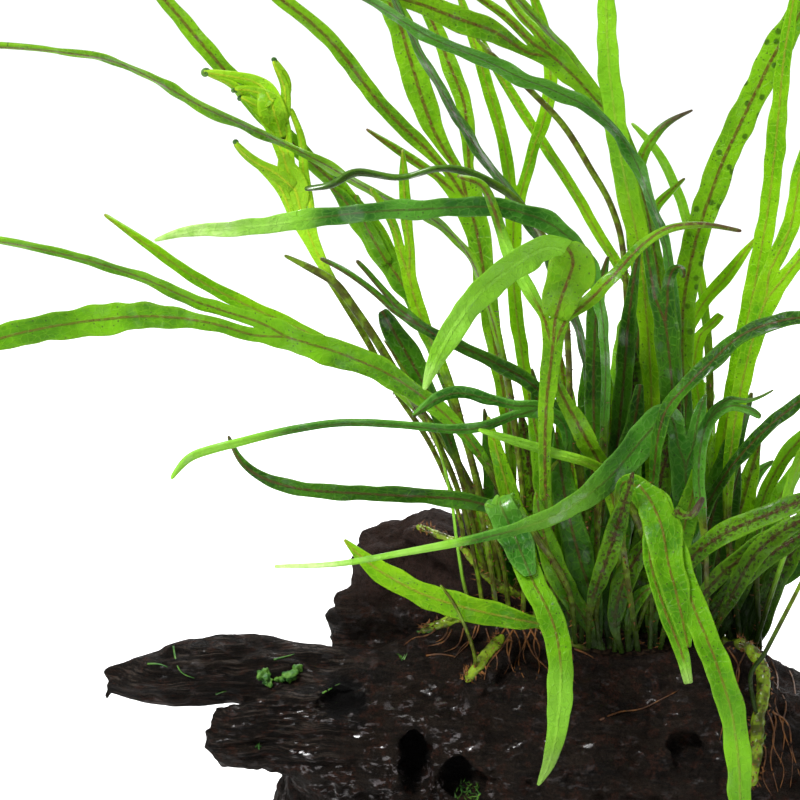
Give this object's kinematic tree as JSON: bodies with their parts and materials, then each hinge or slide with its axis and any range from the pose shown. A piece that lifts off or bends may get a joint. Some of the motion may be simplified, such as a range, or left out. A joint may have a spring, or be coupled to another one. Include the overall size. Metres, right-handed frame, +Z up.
{
  "type": "aquarium plant on driftwood",
  "caption": "Java fern with long forked strap-shaped fronds growing from creeping rhizomes on a branching piece of driftwood.",
  "frame": {"origin": "in the middle of the driftwood's flat underside, below the crown", "axes": "+X to the right as the picture shows it, +Y away from the viewer, +Z up"},
  "size_m": [0.277, 0.1713, 0.2354],
  "materials": {
    "driftwood": "wet, dark",
    "rhizome": "satin",
    "leaf": "wet, glossy"
  },
  "bodies": {
    "root": {"driftwood_back_stump": "driftwood", "driftwood_left_branch": "driftwood", "driftwood_right_branch": "driftwood", "driftwood_trunk": "driftwood", "frond_arched_behind": "leaf", "frond_arching_wet": "leaf", "frond_back_left": "leaf", "frond_back_middle": "leaf", "frond_back_right": "leaf", "frond_big_right": "leaf", "frond_bluish_behind": "leaf", "frond_blunt_lobes": "leaf", "frond_brown_back_lower": "leaf", "frond_brown_back_upper": "leaf", "frond_brown_tip": "leaf", "frond_central_brown": "leaf", "frond_dark_broad": "leaf", "frond_dotted": "leaf", "frond_dotted_thin": "leaf", "frond_edge_on_dark": "leaf", "frond_folded_front": "leaf", "frond_hanging_front": "leaf", "frond_hanging_right_forked": "leaf", "frond_inner_left": "leaf", "frond_inner_right": "leaf", "frond_left_high_broad": "leaf", "frond_left_high_thin": "leaf", "frond_left_light_tip": "leaf", "frond_left_low_forked": "leaf", "frond_left_narrow": "leaf", "frond_left_pale_tip": "leaf", "frond_light_behind": "leaf", "frond_long_blue": "leaf", "frond_looped_thin": "leaf", "frond_low_left": "leaf", "frond_over_wood": "leaf", "frond_ragged": "leaf", "frond_right_arching": "leaf", "frond_right_forked": "leaf", "frond_right_low": "leaf", "frond_right_upright": "leaf", "frond_slender_pair": "leaf", "frond_tall_trident": "leaf", "frond_toothed": "leaf", "frond_top_forked": "leaf", "frond_trident_arching": "leaf", "frond_twisted_fork": "leaf", "frond_twisted_thin": "leaf", "frond_upright_broad": "leaf", "frond_upright_forked": "leaf", "frond_wet_narrow": "leaf", "frond_wet_trunk": "leaf", "frond_young_curled": "leaf", "rhizome_back": "rhizome", "rhizome_front": "rhizome", "rhizome_hanging": "rhizome", "rhizome_left": "rhizome", "rhizome_low": "rhizome"}
  },
  "joints": []
}
